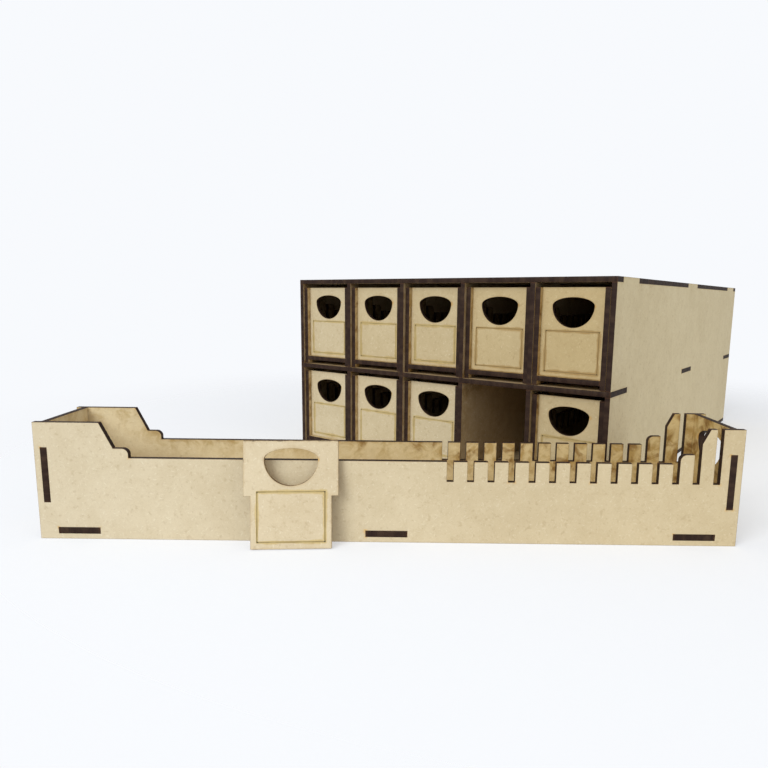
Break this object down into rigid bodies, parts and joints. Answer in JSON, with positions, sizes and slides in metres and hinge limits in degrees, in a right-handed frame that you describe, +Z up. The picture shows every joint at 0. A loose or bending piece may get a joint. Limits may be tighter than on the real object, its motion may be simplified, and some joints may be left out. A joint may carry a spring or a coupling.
{
  "type": "game piece drawer cabinet",
  "caption": "Storage cabinet of tabbed fibreboard with rows of sliding drawers; one drawer stands in front of it, with a loose divider plate leaning on its side.",
  "frame": {"origin": "middle of the cabinet's underside", "axes": "+Z up, the drawers open towards -Y, +X to the right when facing the drawers"},
  "size_m": [0.3123, 0.5561, 0.1294],
  "materials": {
    "cabinet_board": "raw fibreboard, matt, with charred dark brown cut edges",
    "drawer_board": "raw fibreboard, matt, with charred dark brown cut edges",
    "divider_board": "raw fibreboard, matt, with golden brown cut edges"
  },
  "bodies": {
    "cabinet": {"top_panel": "cabinet_board", "bottom_panel": "cabinet_board", "middle_shelf": "cabinet_board", "back_panel": "cabinet_board", "left_side_panel": "cabinet_board", "right_side_panel": "cabinet_board", "partition_1": "cabinet_board", "partition_2": "cabinet_board", "partition_3": "cabinet_board", "partition_4": "cabinet_board"},
    "drawer_upper_1": {"drawer_upper_1_front": "drawer_board", "drawer_upper_1_sides": "drawer_board", "drawer_upper_1_back": "drawer_board", "drawer_upper_1_floor": "drawer_board"},
    "drawer_upper_2": {"drawer_upper_2_front": "drawer_board", "drawer_upper_2_sides": "drawer_board", "drawer_upper_2_back": "drawer_board", "drawer_upper_2_floor": "drawer_board"},
    "drawer_upper_3": {"drawer_upper_3_front": "drawer_board", "drawer_upper_3_sides": "drawer_board", "drawer_upper_3_back": "drawer_board", "drawer_upper_3_floor": "drawer_board"},
    "drawer_upper_4": {"drawer_upper_4_front": "drawer_board", "drawer_upper_4_sides": "drawer_board", "drawer_upper_4_back": "drawer_board", "drawer_upper_4_floor": "drawer_board"},
    "drawer_upper_5": {"drawer_upper_5_front": "drawer_board", "drawer_upper_5_sides": "drawer_board", "drawer_upper_5_back": "drawer_board", "drawer_upper_5_floor": "drawer_board"},
    "drawer_lower_1": {"drawer_lower_1_front": "drawer_board", "drawer_lower_1_sides": "drawer_board", "drawer_lower_1_back": "drawer_board", "drawer_lower_1_floor": "drawer_board"},
    "drawer_lower_2": {"drawer_lower_2_front": "drawer_board", "drawer_lower_2_sides": "drawer_board", "drawer_lower_2_back": "drawer_board", "drawer_lower_2_floor": "drawer_board"},
    "drawer_lower_3": {"drawer_lower_3_front": "drawer_board", "drawer_lower_3_sides": "drawer_board", "drawer_lower_3_back": "drawer_board", "drawer_lower_3_floor": "drawer_board"},
    "drawer_lower_5": {"drawer_lower_5_front": "drawer_board", "drawer_lower_5_sides": "drawer_board", "drawer_lower_5_back": "drawer_board", "drawer_lower_5_floor": "drawer_board"},
    "loose_drawer": {"loose_drawer_front": "drawer_board", "loose_drawer_back": "drawer_board", "loose_drawer_near_side": "drawer_board", "loose_drawer_far_side": "drawer_board", "loose_drawer_floor": "drawer_board"},
    "divider": {"divider_plate": "divider_board"}
  },
  "joints": [
    {"name": "drawer_upper_1_slide", "type": "slide", "parent": "cabinet", "child": "drawer_upper_1", "axis": [0, -1, 0], "range_m": [0, 0.3]},
    {"name": "drawer_upper_2_slide", "type": "slide", "parent": "cabinet", "child": "drawer_upper_2", "axis": [0, -1, 0], "range_m": [0, 0.3]},
    {"name": "drawer_upper_3_slide", "type": "slide", "parent": "cabinet", "child": "drawer_upper_3", "axis": [0, -1, 0], "range_m": [0, 0.3]},
    {"name": "drawer_upper_4_slide", "type": "slide", "parent": "cabinet", "child": "drawer_upper_4", "axis": [0, -1, 0], "range_m": [0, 0.3]},
    {"name": "drawer_upper_5_slide", "type": "slide", "parent": "cabinet", "child": "drawer_upper_5", "axis": [0, -1, 0], "range_m": [0, 0.3]},
    {"name": "drawer_lower_1_slide", "type": "slide", "parent": "cabinet", "child": "drawer_lower_1", "axis": [0, -1, 0], "range_m": [0, 0.155]},
    {"name": "drawer_lower_2_slide", "type": "slide", "parent": "cabinet", "child": "drawer_lower_2", "axis": [0, -1, 0], "range_m": [0, 0.12]},
    {"name": "drawer_lower_3_slide", "type": "slide", "parent": "cabinet", "child": "drawer_lower_3", "axis": [0, -1, 0], "range_m": [0, 0.085]},
    {"name": "drawer_lower_5_slide", "type": "slide", "parent": "cabinet", "child": "drawer_lower_5", "axis": [0, -1, 0], "range_m": [0, 0.016]},
    {"name": "loose_drawer_lift", "type": "slide", "parent": "cabinet", "child": "loose_drawer", "axis": [0, 0, 1], "range_m": [0, 0.15]},
    {"name": "divider_lift", "type": "slide", "parent": "loose_drawer", "child": "divider", "axis": [-0.0962, 0.1122, 0.989], "range_m": [0, 0.06]}
  ]
}
